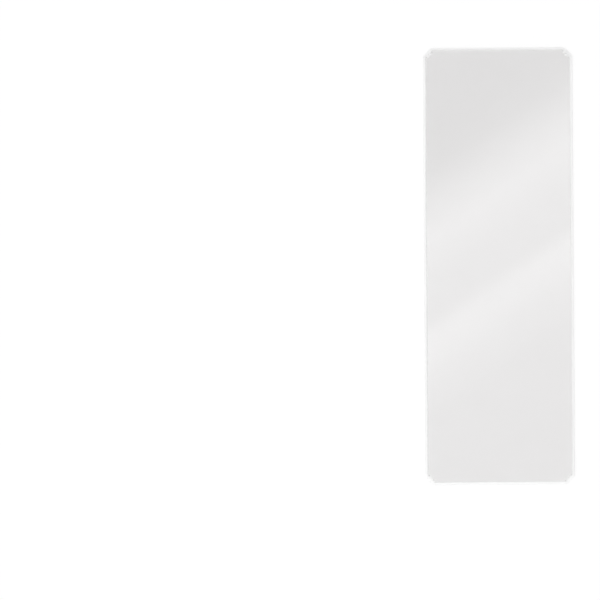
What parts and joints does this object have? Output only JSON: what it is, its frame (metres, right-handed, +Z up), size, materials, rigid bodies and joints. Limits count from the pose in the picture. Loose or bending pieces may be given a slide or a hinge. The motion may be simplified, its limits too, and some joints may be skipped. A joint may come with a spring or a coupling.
{
  "type": "microscope slide",
  "caption": "Plain clear glass microscope slide: a thin flat rectangular plate with ground bevelled edges and clipped corners.",
  "frame": {"origin": "centre of the lower polished face, which is the middle of the bounding box's bottom", "axes": "+X across the width, +Y along the length, +Z up through the thickness, out of the specimen face"},
  "size_m": [0.026, 0.076, 0.001],
  "materials": {
    "glass": "polished faces, wheel-ground frosted edges"
  },
  "bodies": {
    "root": {"glass_slide": "glass"}
  },
  "joints": []
}
